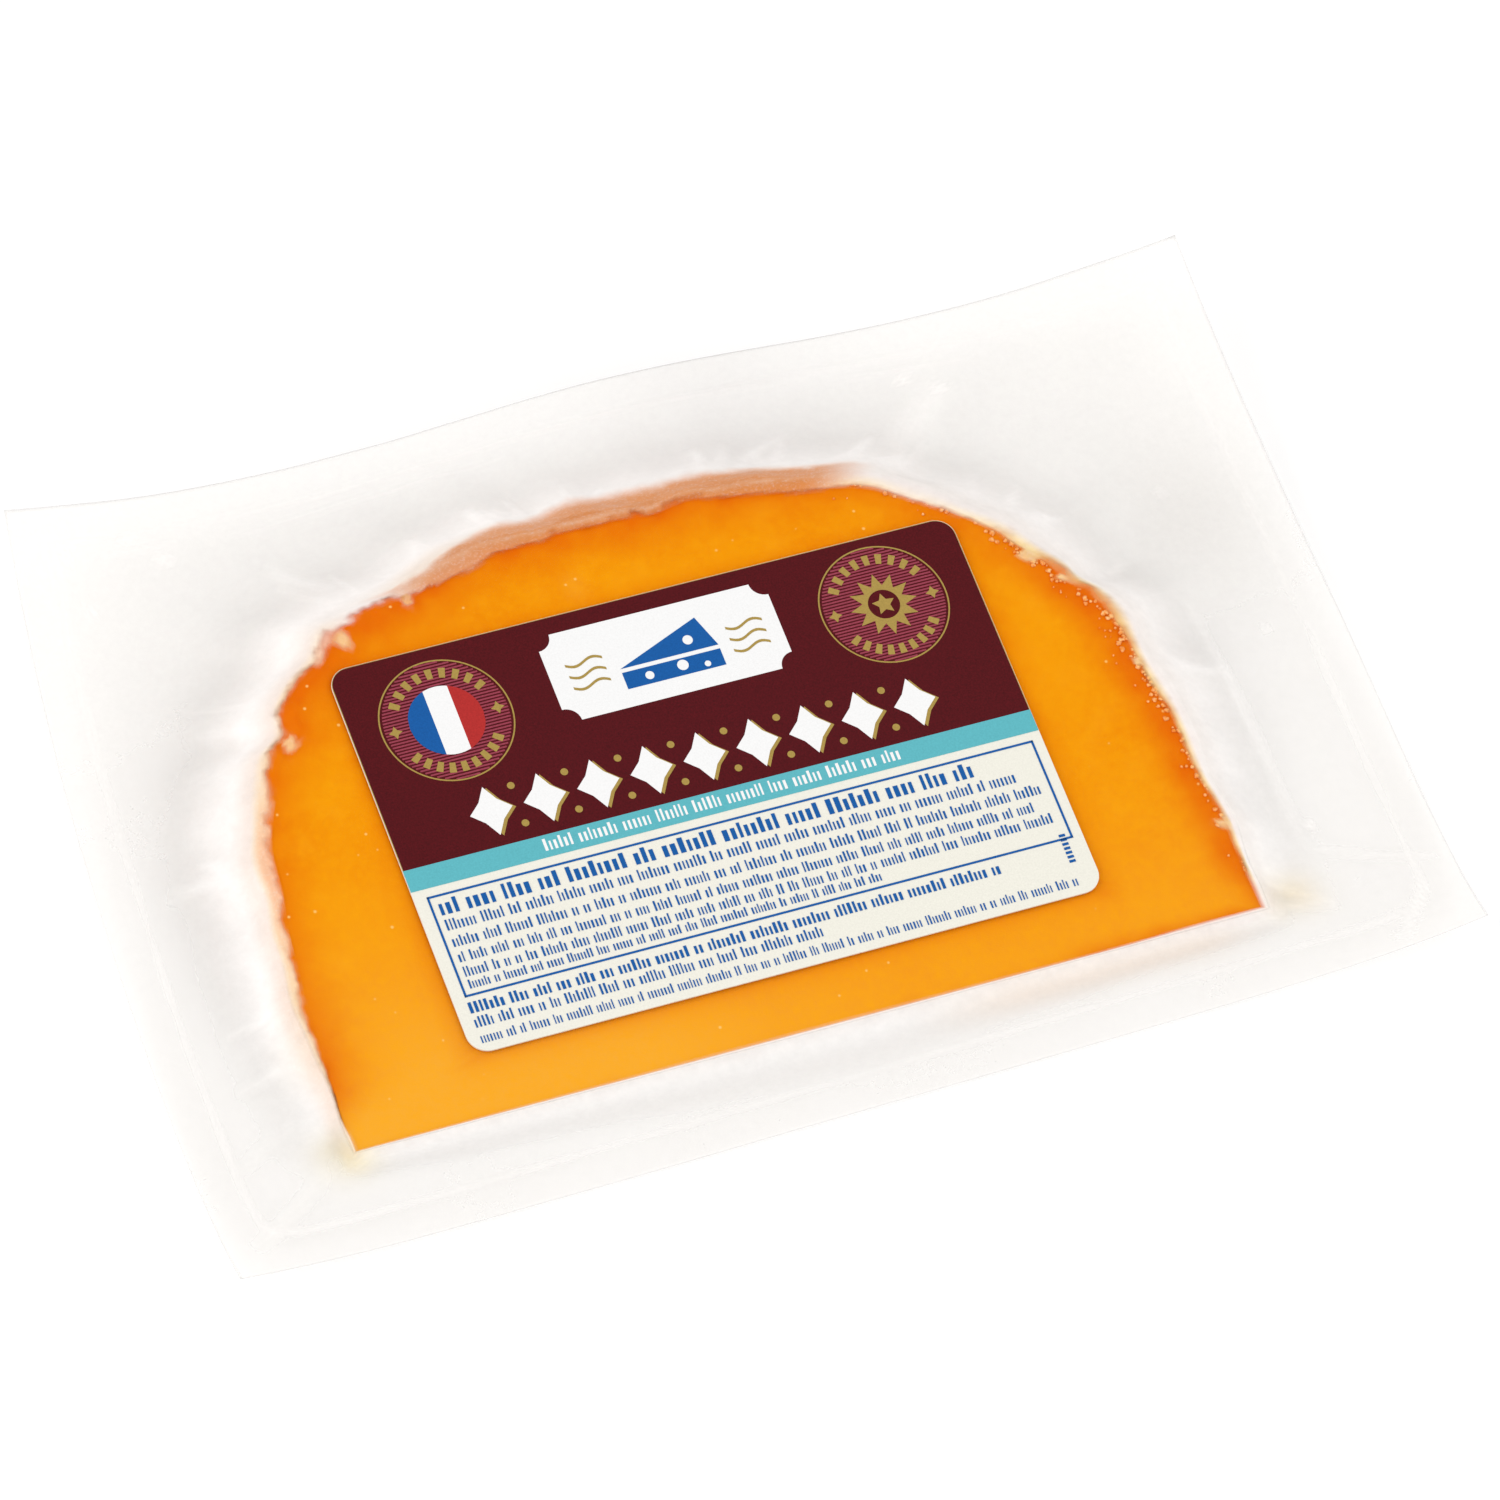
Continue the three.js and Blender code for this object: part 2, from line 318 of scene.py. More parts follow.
def profile(turn, upper, gap):
    """One level of the rind: distance from the hub and height, a gap outside the solid's surface."""
    drop = SHOULDER * (1 - math.cos(turn))
    z = THICKNESS - drop if upper else drop
    relief = RIND_SHARE * rind_relief(z) * math.sin(turn)
    distance = RIM + SHOULDER * math.sin(turn) + relief + gap * math.sin(turn)
    return distance, z + (gap if upper else -gap) * math.cos(turn)


def shade(red, green, blue):
    """A colour as it looks on screen, from 0 to 255, as linear RGBA."""

    def linear(value):
        value /= 255
        return value / 12.92 if value <= 0.04045 else ((value + 0.055) / 1.055) ** 2.4

    return (linear(red), linear(green), linear(blue), 1)


def add(tree, kind, values=None, **settings):
    """A shader node; a value that is a socket is linked, and any other becomes the input's own."""
    made = tree.nodes.new(kind)
    for name, value in settings.items():
        setattr(made, name, value)
    for name, value in (values or {}).items():
        if isinstance(value, bpy.types.NodeSocket):
            tree.links.new(value, made.inputs[name])
        else:
            made.inputs[name].default_value = value
    return made


def place(tree):
    return add(tree, "ShaderNodeTexCoord").outputs["Object"]


def grain(tree, size, detail=2, roughness=0.5):
    """Noise from 0 to 1 whose bumps are about size millimetres across."""
    values = {"Vector": place(tree), "Scale": 1 / (size * MM), "Detail": detail, "Roughness": roughness}
    return add(tree, "ShaderNodeTexNoise", values).outputs[0]


def spots(tree, spacing):
    """Distance to the nearest scattered spot, as a part of their spacing, and its random colour."""
    values = {"Vector": place(tree), "Scale": 1 / (spacing * MM)}
    node = add(tree, "ShaderNodeTexVoronoi", values)
    return node.outputs["Distance"], node.outputs["Color"]


def span(tree, value, low, high, to_low=0, to_high=1):
    """A value from low to high as one from to_low to to_high, held within them."""
    values = {0: value, 1: low, 2: high, 3: to_low, 4: to_high}
    return add(tree, "ShaderNodeMapRange", values, clamp=True).outputs[0]


def maths(tree, operation, first, second=0.0, third=0.0):
    values = {0: first, 1: second, 2: third}
    return add(tree, "ShaderNodeMath", values, operation=operation).outputs[0]


def mix(tree, factor, first, second, blend="MIX"):
    values = {0: factor, 6: first, 7: second}
    return add(tree, "ShaderNodeMix", values, data_type="RGBA", blend_type=blend).outputs[2]


def attribute(tree, name):
    return add(tree, "ShaderNodeAttribute", attribute_name=name)


def bump(tree, height, distance, strength=1.0):
    values = {"Height": height, "Distance": distance * MM, "Strength": strength}
    return add(tree, "ShaderNodeBump", values).outputs[0]


def new_material(name):
    material = bpy.data.materials.new(name)
    material.use_nodes = True
    tree = material.node_tree
    tree.nodes.clear()
    return material, tree, add(tree, "ShaderNodeOutputMaterial")


def solid_surface(tree, output, values):
    body = add(tree, "ShaderNodeBsdfPrincipled", values)
    tree.links.new(body.outputs[0], output.inputs[0])


def cheese_material():
    """Deep orange paste with a redder rim, pale and dark specks, and a brown pitted rind round it."""
    material, tree, output = new_material("cheese_look")
    rim = attribute(tree, "rim").outputs["Fac"]
    rind = attribute(tree, "rind").outputs["Fac"]
    pale = attribute(tree, "pale").outputs["Fac"]
    by_label = attribute(tree, "by_label").outputs["Fac"]
    cloud = grain(tree, 16, 3)
    paste = mix(tree, span(tree, cloud, 0.35, 0.65), shade(229, 130, 0), shade(233, 143, 2))
    # Paler where painted light falls, at the lower left and along the straight edge, and in one patch of
    # the paste's own
    paste = mix(tree, pale, paste, shade(237, 165, 50))
    # Paler blotches, mottling and fine grain: size, detail, roughness, from, to, amount and colour
    for size, detail, roughness, low, high, amount, seen in [
        (5, 2, 0.5, 0.5, 0.8, 0.3, (240, 160, 28)),
        (1.5, 3, 0.6, 0.4, 0.75, 0.4, (241, 162, 8)),
        (0.4, 2, 0.7, 0.3, 0.7, 0.4, (243, 166, 12)),
    ]:
        paler = span(tree, grain(tree, size, detail, roughness), low, high, 0, amount)
        paste = mix(tree, paler, paste, shade(*seen))
    # Redder towards the rim, and darker under and round the label's edge
    uneven = maths(tree, "ADD", rim, span(tree, grain(tree, 5, 3), 0.2, 0.8, -1.6, 1.6))
    near = maths(tree, "POWER", span(tree, uneven, 0, 10, 1, 0), 1.6)
    paste = mix(tree, maths(tree, "MULTIPLY", near, 0.92), paste, shade(221, 99, 3))
    paste = mix(tree, maths(tree, "MULTIPLY", by_label, 0.45), paste, shade(221, 102, 2))
    # Pale specks, and fewer dark ones: spacing, inner and outer edge, the chances below which a spot
    # is left out and above which it is kept, and colour
    for spacing, inner, outer, left_out, kept, seen in [
        (3.2, 0.05, 0.1, 0.62, 0.66, (247, 207, 126)),
        (9, 0.02, 0.035, 0.6, 0.62, (116, 48, 9)),
    ]:
        distance, chance = spots(tree, spacing)
        inside = span(tree, distance, inner, outer, 1, 0)
        speck = maths(tree, "MULTIPLY", inside, span(tree, chance, left_out, kept))
        paste = mix(tree, maths(tree, "MULTIPLY", speck, 0.6), paste, shade(*seen))
    # The rind, with darker pits and a ragged edge to the paste
    crust_grain = span(tree, grain(tree, 2.4, 3, 0.6), 0.3, 0.7)
    crust = mix(tree, crust_grain, shade(207, 130, 73), shade(229, 166, 108))
    pits = span(tree, grain(tree, 0.9, 3, 0.7), 0.3, 0.5, 0.6, 0)
    crust = mix(tree, pits, crust, shade(186, 108, 58))
    ragged = maths(tree, "ADD", rind, span(tree, grain(tree, 1.4, 3), 0.2, 0.8, -0.25, 0.25))
    colour = mix(tree, span(tree, ragged, 0.35, 0.65), paste, crust)
    values = {
        "Base Color": colour,
        "Roughness": span(tree, rind, 0, 1, 0.42, 0.8),
        "Specular IOR Level": 0.02,
        "Normal": bump(tree, grain(tree, 0.7, 4, 0.6), 0.08, 0.5),
    }
    solid_surface(tree, output, values)
    return material


def crumb_material():
    material, tree, output = new_material("crumb_look")
    uneven = span(tree, grain(tree, 0.6, 2), 0.35, 0.65)
    tone = mix(tree, uneven, shade(236, 136, 48), shade(248, 190, 126))
    solid_surface(tree, output, {"Base Color": tone, "Roughness": 0.5, "Specular IOR Level": 0.1})
    return material


def film_material():
    """Film: milky and glossy where it is loose, clear and hardly glossy where it clings to the cheese.
    """
    material, tree, output = new_material("film_look")
    colour = attribute(tree, "film_colour").outputs["Color"]
    haze = attribute(tree, "haze").outputs["Fac"]
    cling = attribute(tree, "cling").outputs["Fac"]
    cloudy = span(tree, grain(tree, 2.2, 3, 0.65), 0.25, 0.75, 0.94, 1.06)
    haze = maths(tree, "MULTIPLY", haze, cloudy)
    dust = span(tree, grain(tree, 0.45, 3, 0.7), 0.5, 0.72, 0, 0.24)
    colour = mix(tree, dust, colour, shade(*FILM_WHITE))
    wrinkled = bump(tree, grain(tree, 2.6, 3, 0.65), 0.2, 0.3)
    front = add(tree, "ShaderNodeBsdfDiffuse", {"Color": colour})
    through = add(tree, "ShaderNodeBsdfTranslucent", {"Color": colour})
    milk = add(tree, "ShaderNodeMixShader", {0: 0.14, 1: front.outputs[0], 2: through.outputs[0]})
    clear = add(tree, "ShaderNodeBsdfTransparent", {"Color": (0.992, 0.989, 0.985, 1)})
    body = add(tree, "ShaderNodeMixShader", {0: haze, 1: clear.outputs[0], 2: milk.outputs[0]})
    gloss = add(tree, "ShaderNodeBsdfGlossy", {"Roughness": 0.28, "Normal": wrinkled})
    # Facing is the same from both sides of the film, so the lower film isn't a mirror seen from within
    facing = add(tree, "ShaderNodeLayerWeight", {"Blend": 0.5}).outputs["Facing"]
    grazing = maths(tree, "MULTIPLY_ADD", maths(tree, "POWER", facing, 5), 0.55, 0.035)
    shine = maths(tree, "MULTIPLY", grazing, span(tree, cling, 0, 1, 1, 0.05))
    skin = add(tree, "ShaderNodeMixShader", {0: shine, 1: body.outputs[0], 2: gloss.outputs[0]})
    tree.links.new(skin.outputs[0], output.inputs[0])
    return material


def printed_material(name, colour, roughness=0.6, metallic=0.0, contrast=0.22):
    """Ink or bare paper with the fine grain of the sheet."""
    material, tree, output = new_material(name)
    darker = tuple(channel * (1 - contrast) for channel in colour[:3]) + (1,)
    lighter = tuple(min(1, channel * (1 + contrast)) for channel in colour[:3]) + (1,)
    fleck = span(tree, grain(tree, 0.28, 2, 0.7), 0.3, 0.7)
    tone = mix(tree, fleck, darker, lighter)
    broad = span(tree, grain(tree, 9, 2), 0.3, 0.7, 0, 0.3)
    tone = mix(tree, broad, tone, colour)
    values = {
        "Base Color": tone,
        "Roughness": roughness,
        "Metallic": metallic,
        "Specular IOR Level": 0.12,
        "Normal": bump(tree, grain(tree, 0.35, 3, 0.6), 0.03, 0.5),
    }
    solid_surface(tree, output, values)
    return material


def mesh_piece(name, points, faces, material, smooth=True):
    """A piece from points in millimetres, which rides with the solids."""
    mesh = bpy.data.meshes.new(name)
    mesh.from_pydata((np.asarray(points) * MM).tolist(), [], faces)
    mesh.polygons.foreach_set("use_smooth", [smooth] * len(mesh.polygons))
    mesh.materials.append(material)
    mesh.update()
    piece = bpy.data.objects.new(name, mesh)
    bpy.context.scene.collection.objects.link(piece)
    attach(piece, "root")
    return piece


def give(piece, name, values):
    """A number or a colour at each vertex, for the material."""
    values = np.asarray(values, dtype=np.float32)
    if values.ndim == 1:
        piece.data.attributes.new(name, "FLOAT", "POINT").data.foreach_set("value", values)
    else:
        rgba = np.concatenate([values, np.ones((len(values), 1), np.float32)], axis=1)
        layer = piece.data.attributes.new(name, "FLOAT_COLOR", "POINT")
        layer.data.foreach_set("color", rgba.ravel())


def skin_faces(ring_count):
    """Faces of a closed skin over rings of points, from a pole under the first to one over the last."""
    count = len(ANGLES)
    here = np.arange(count)
    after = np.roll(here, -1)
    faces = []
    for ring in range(ring_count - 1):
        low, high = ring * count, (ring + 1) * count
        faces += np.stack([low + here, low + after, high + after, high + here], axis=1).tolist()
    lower = ring_count * count
    last = (ring_count - 1) * count
    faces += [[lower, j, i] for i, j in zip(here.tolist(), after.tolist())]
    faces += [[last + i, last + j, lower + 1] for i, j in zip(here.tolist(), after.tolist())]
    return faces


def closed_skin(name, rings, low, high, material):
    """A piece over rings that begin with x, y and z, and its points, the last two at the hub."""
    levels = [np.stack(ring[:3], axis=1) for ring in rings]
    points = np.concatenate(levels + [[(*HUB, low), (*HUB, high)]])
    return mesh_piece(name, points, skin_faces(len(rings)), material), points


def label_inset(x, y):
    """Distance in from the label's outline, negative outside it, along the cut face."""
    up = (y - EDGE_Y) / math.cos(WEDGE_ANGLE)
    across = LABEL_WIDTH / 2 - np.abs(x - LABEL_LEFT - LABEL_WIDTH / 2)
    along = LABEL_HEIGHT / 2 - np.abs(up - LABEL_TOP + LABEL_HEIGHT / 2)
    outside = np.hypot(np.minimum(across, 0), np.minimum(along, 0))
    return np.where((across > 0) & (along > 0), np.minimum(across, along), -outside)


def stretched_rim(x, y, inward):
    """Distance in from the rim, stretched where the rim's darker colour is narrower or fainter."""
    right = smoothstep(x, 20, 50)
    # Along the straight edge both cut faces meet without a rind, so the darker rim fades out
    inward = inward + (8 - 5 * right) * (1 - smoothstep(y, EDGE_Y + 2, EDGE_Y + 11))
    # It ends sharply on the right and is broader at the upper left
    inward = inward * (1 - 0.55 * right) + right * np.maximum(inward - 3, 0)
    inward = inward * (1 - 0.45 * bell(x, -48, 14) * smoothstep(y, 10, 20))
    # It is fainter at the left, the upper right and the lower left
    inward = inward + 2.5 * smoothstep(-x, 30, 55) * bell(y, -4, 17)
    inward = inward + 2.5 * bell(x, 42, 14) * smoothstep(y, 8, 20)
    return inward + 1.6 * bell(x, -78, 9) * bell(y, -36, 12)


def paler_and_lit_paste(x, y):
    """How pale the paste is: lighter at the face's lower left and along its straight edge as painted
    light, and paler in one patch.
    """
    dark_spot = bell(np.hypot(x + 74, y + 40), 0, 7)
    near_left = bell(x, -55, 40) * bell(y, -55, 26) * (1 - 0.5 * dark_spot)
    patch = 0.5 * bell(np.hypot(x + 15, y - 27.5), 0, 1.8)
    return np.clip(near_left + 0.35 * bell(y, EDGE_Y, 18) + patch, 0, 1)


def build_cheese():
    """The wedge with a rough rim, a pitted rind and a faintly uneven upper face."""
    # Each ring has its points, their distance in from the rim, and its share of the rind's colour
    rings = []
    for part in UNDERSIDE_PARTS:
        x, y = from_hub(part * RIM, ANGLES)
        rings.append((x, y, np.full_like(x, CHEESE_SINK), RIM * (1 - part), 0.0))
    levels = [(math.pi / 2 * i / LOWER_TURNS, False) for i in range(LOWER_TURNS + 1)]
    levels += [(math.pi / 2 * i / UPPER_TURNS, True) for i in range(UPPER_TURNS, -1, -1)]
    for turn, upper in levels:
        distance, z = profile(turn, upper, -CHEESE_SINK)
        x, y = from_hub(distance, ANGLES)
        pits = np.maximum(noise_at(x, y, z * 1.3, 2.6), 0) + 0.6 * np.maximum(noise_at(x, y, z, 1.1), 0)
        distance = distance - 0.7 * RIND_SHARE * math.sin(turn) ** 0.5 * pits
        x, y = from_hub(distance, ANGLES)
        chips = 0.5 * RIND_SHARE * np.maximum(noise_at(x + 50, y, 0, 2.2), 0) * math.cos(turn)
        z = z - chips if upper else z
        rind = min(1.0, max(0.0, turn / math.radians(40) - 0.4))
        rings.append((x, y, z, np.zeros_like(x), rind))
    for part in FACE_PARTS:
        x, y = from_hub(part * RIM, ANGLES)
        inward = RIM * (1 - part)
        uneven = 0.07 * noise_at(x, y, 3, 13) + 0.03 * noise_at(x, y, 9, 3)
        chips = 0.45 * RIND_SHARE * np.maximum(noise_at(x + 50, y, 0, 2.2), 0) * np.exp(-inward / 1.6)
        z = face_height(y) - CHEESE_SINK - 0.07 + uneven - chips
        rings.append((x, y, z, inward, 0.0))
    hub_top = face_height(HUB[1]) - CHEESE_SINK
    piece, points = closed_skin("cheese_wedge", rings, CHEESE_SINK, hub_top, cheese_material())
    x, y, z = points.T
    inward = np.concatenate([ring[3] for ring in rings] + [[POLE_INSET] * 2])
    rind = np.concatenate([ring[4] * RIND_SHARE for ring in rings] + [[0, 0]])
    give(piece, "rim", stretched_rim(x, y, inward))
    give(piece, "rind", rind)
    give(piece, "pale", paler_and_lit_paste(x, y))
    give(piece, "by_label", np.exp(np.minimum(label_inset(x, y), 0) / 1.7) * (z > 1.2))
    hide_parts("cheese")


def build_crumbs():
    """Small flat lumps that crowd at the rim and thin out towards the middle of the face."""
    points, faces = [], []
    for _ in range(CRUMBS):
        angle = math.radians(random.triangular(*CRUMB_ANGLES))
        inward = 0.2 + random.expovariate(1.2)
        half = random.uniform(*CRUMB_SIZES) * (1 if inward < 2 else 0.55)
        distance = np.interp(angle, ANGLES, RIM) - inward
        x, y = from_hub(distance, angle)
        top = face_height(y) - FILM_SINK - 0.02
        first = len(points)
        for ring in range(1, CRUMB_RINGS):
            polar = math.pi * ring / CRUMB_RINGS
            level = top - 0.2 * (1 - math.cos(polar))
            for i in range(CRUMB_ROUND):
                turn = 2 * math.pi * i / CRUMB_ROUND
                out = half * math.sin(polar) * random.uniform(0.55, 1.3)
                points.append((x + out * math.cos(turn), y + out * math.sin(turn), level))
        upper = len(points)
        lower = upper + 1
        points += [(x, y, top), (x, y, top - 0.4)]
        last = first + (CRUMB_RINGS - 2) * CRUMB_ROUND
        for i in range(CRUMB_ROUND):
            j = (i + 1) % CRUMB_ROUND
            for ring in range(CRUMB_RINGS - 2):
                a = first + ring * CRUMB_ROUND
                b = a + CRUMB_ROUND
                faces.append([a + i, b + i, b + j, a + j])
            faces.append([upper, first + i, first + j])
            faces.append([lower, last + j, last + i])
    piece = mesh_piece("rim_crumbs", points, faces, crumb_material())


def flange_height(x, y):
    """Height of the sealed film's middle, which rises behind the rind and curls at the corners."""
    left_far, right_far, power_far = FAR_CURLS
    left_near, right_near, power_near = NEAR_CURLS
    far_lift = np.where(x > 0, right_far, left_far)
    near_lift = np.where(x > 0, right_near, left_near)
    lift = np.where(y > 0, far_lift, near_lift)
    corner = np.abs(x / POUCH_HALF_X) * np.abs(y / POUCH_HALF_Y)
    curl = lift * corner ** np.where(y > 0, power_far, power_near)
    hump = HUMP_HEIGHT * bell(x, HUMP_X, HUMP_WIDTH) * smoothstep(y, 0, POUCH_HALF_Y)
    return SOLID_FILM / 2 + FLANGE_RISE * smoothstep(y, EDGE_Y, POUCH_HALF_Y) + hump + curl


def crease_height(x, y, start, end, width, height, bow):
    """A ridge, or a groove where the height is negative, along a slightly bowed line."""
    length = math.hypot(end[0] - start[0], end[1] - start[1])
    along_x = (end[0] - start[0]) / length
    along_y = (end[1] - start[1]) / length
    part = np.clip(((x - start[0]) * along_x + (y - start[1]) * along_y) / length, 0, 1)
    off = along_x * (y - start[1]) - along_y * (x - start[0]) - 4 * bow * part * (1 - part)
    return height * np.sqrt(np.sin(math.pi * part)) * bell(off, 0, width)


def rim_creases():
    """Short folds that run out from the rim, where flat film is gathered round the cheese."""
    made = []
    for _ in range(RIM_CREASES):
        i = random.randrange(len(ANGLES))
        angle = ANGLES[i]
        if RIND_SHARE[i] < 0.5:
            continue
        near = RIM[i] + SHOULDER[i] + random.uniform(0, 3)
        far = near + random.uniform(3, 13)
        lean = random.uniform(-0.06, 0.06)
        start = from_hub(near, angle)
        end = from_hub(far, angle + lean)
        width = random.uniform(0.5, 1.1)
        height = random.uniform(-0.12, 0.22)
        bow = random.uniform(-0.8, 0.8)
        made.append((start, end, width, height, bow))
    return made


def film_folds(x, y):
    """Height of the film's creases, and how much they whiten it, partly as painted highlight."""
    height = np.zeros_like(x)
    white = np.zeros_like(x)
    for start, end, width, rise, bow in CREASES + RIM_FOLDS:
        fold = crease_height(x, y, start, end, width, rise, bow)
        height += fold
        # Milkier along each crease, partly real whitening and partly a painted highlight
        white += 1.2 * np.abs(fold)
    seal = bell(rounded_inset(x, y), SEAL_INSET, 0.5)
    height += 0.1 * seal
    white += 0.25 * seal * (0.5 + 0.5 * noise_at(x, y, 5, 12))
    for (middle_x, middle_y), radius in BLISTERS:
        blister = np.maximum(1 - ((x - middle_x) ** 2 + (y - middle_y) ** 2) / radius**2, 0)
        height += 0.06 * blister
        # Painted glare on each blister
        white += 0.3 * blister
    return height, white


RIM_FOLDS = rim_creases()


def tent(x, y, side, distance, start_distance, start_z):
    """One film: it leaves the cheese at start_z and meets the flange in a hollow curve."""
    flange = flange_height(x, y) + side * FILM_THICKNESS / 2
    start_x, start_y = from_hub(start_distance, ANGLES)
    step = start_z - flange_height(start_x, start_y) - side * FILM_THICKNESS / 2
    uneven = 1 + 0.22 * np.sin(9 * ANGLES + 1) * np.sin(23 * ANGLES)
    run = 1 + TENT_RUN * np.abs(step) * uneven
    return flange + step * np.clip(1 - (distance - start_distance) / run, 0, 1) ** 2


def build_film():
    """The two films as one closed envelope round the cheese, joined along the pouch's edge."""
    rings = []

    def loose(distance, side, start_distance, start_z):
        x, y = from_hub(distance, ANGLES)
        away = distance - start_distance
        free = smoothstep(away, 0, 6)
        folds, white = film_folds(x, y)
        calm = 0.4 + 0.6 * smoothstep(y, EDGE_Y, 0)
        broad = calm * (0.3 * noise_at(x, y, 0, 28) + 0.1 * noise_at(x, y, 4, 10))
        z = tent(x, y, side, distance, start_distance, start_z) + free * (folds + broad)
        low = BASE_GAP if side < 0 else BASE_GAP + FILM_THICKNESS
        rings.append((x, y, np.maximum(z, low), away, white))

    def close(distance, z, away):
        x, y = from_hub(distance, ANGLES)
        rings.append((x, y, z, away + np.zeros_like(x), np.zeros_like(x)))

    low_distance, low_z = profile(math.radians(30), False, FILM_GAP)
    high_distance, high_z = profile(TENT_START, True, FILM_GAP)
    low_z = np.maximum(low_z, BASE_GAP)
    for part in (0.3, 0.6, 0.85, 1):
        close(part * RIM, np.full_like(RIM, BASE_GAP), -RIM * (1 - part) - 1)
    # Both films have their rings at the same places, so that their folds can't cross
    loose(low_distance, -1, low_distance, low_z)
    for part in LOOSE_PARTS:
        loose(high_distance + (OUTER - high_distance) * part, -1, low_distance, low_z)
    for part in LOOSE_PARTS[::-1]:
        loose(high_distance + (OUTER - high_distance) * part, 1, high_distance, high_z)
    for turn in np.linspace(TENT_START, 0, CLINGING_TURNS)[1:]:
        distance, z = profile(turn, True, -FILM_SINK)
        share = turn / TENT_START
        distance = distance + (FILM_GAP + FILM_SINK) * share
        close(distance, z, -0.01 - (1 - share))
    for inward in CLINGING_INSETS:
        distance = np.maximum(RIM - inward, RIM * 0.1)
        _, y = from_hub(distance, ANGLES)
        close(distance, face_height(y) - FILM_SINK, -1.0 - inward)
    pole_top = face_height(HUB[1]) - FILM_SINK
    piece, points = closed_skin("film_pouch", rings, BASE_GAP, pole_top, film_material())
    away = np.concatenate([ring[3] for ring in rings] + [[-POLE_INSET] * 2])
    white = np.concatenate([ring[4] for ring in rings] + [[0, 0]])
    share = np.concatenate([RIND_SHARE] * len(rings) + [[0, 0]])
    degrees = np.concatenate([np.degrees(ANGLES)] * len(rings) + [[0, 0]])
    dress_film(piece, points, away, white, share, degrees)
    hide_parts("pouch")


def rim_sides(degrees):
    """How much a direction from the hub belongs to the rim's right, far and left side."""
    past_right = smoothstep(degrees, 48, 58)
    right = smoothstep(degrees, -40, -30) * (1 - past_right)
    far = past_right * (1 - smoothstep(degrees, 122, 132))
    left = smoothstep(np.abs(degrees), 132, 145)
    return right, far, left


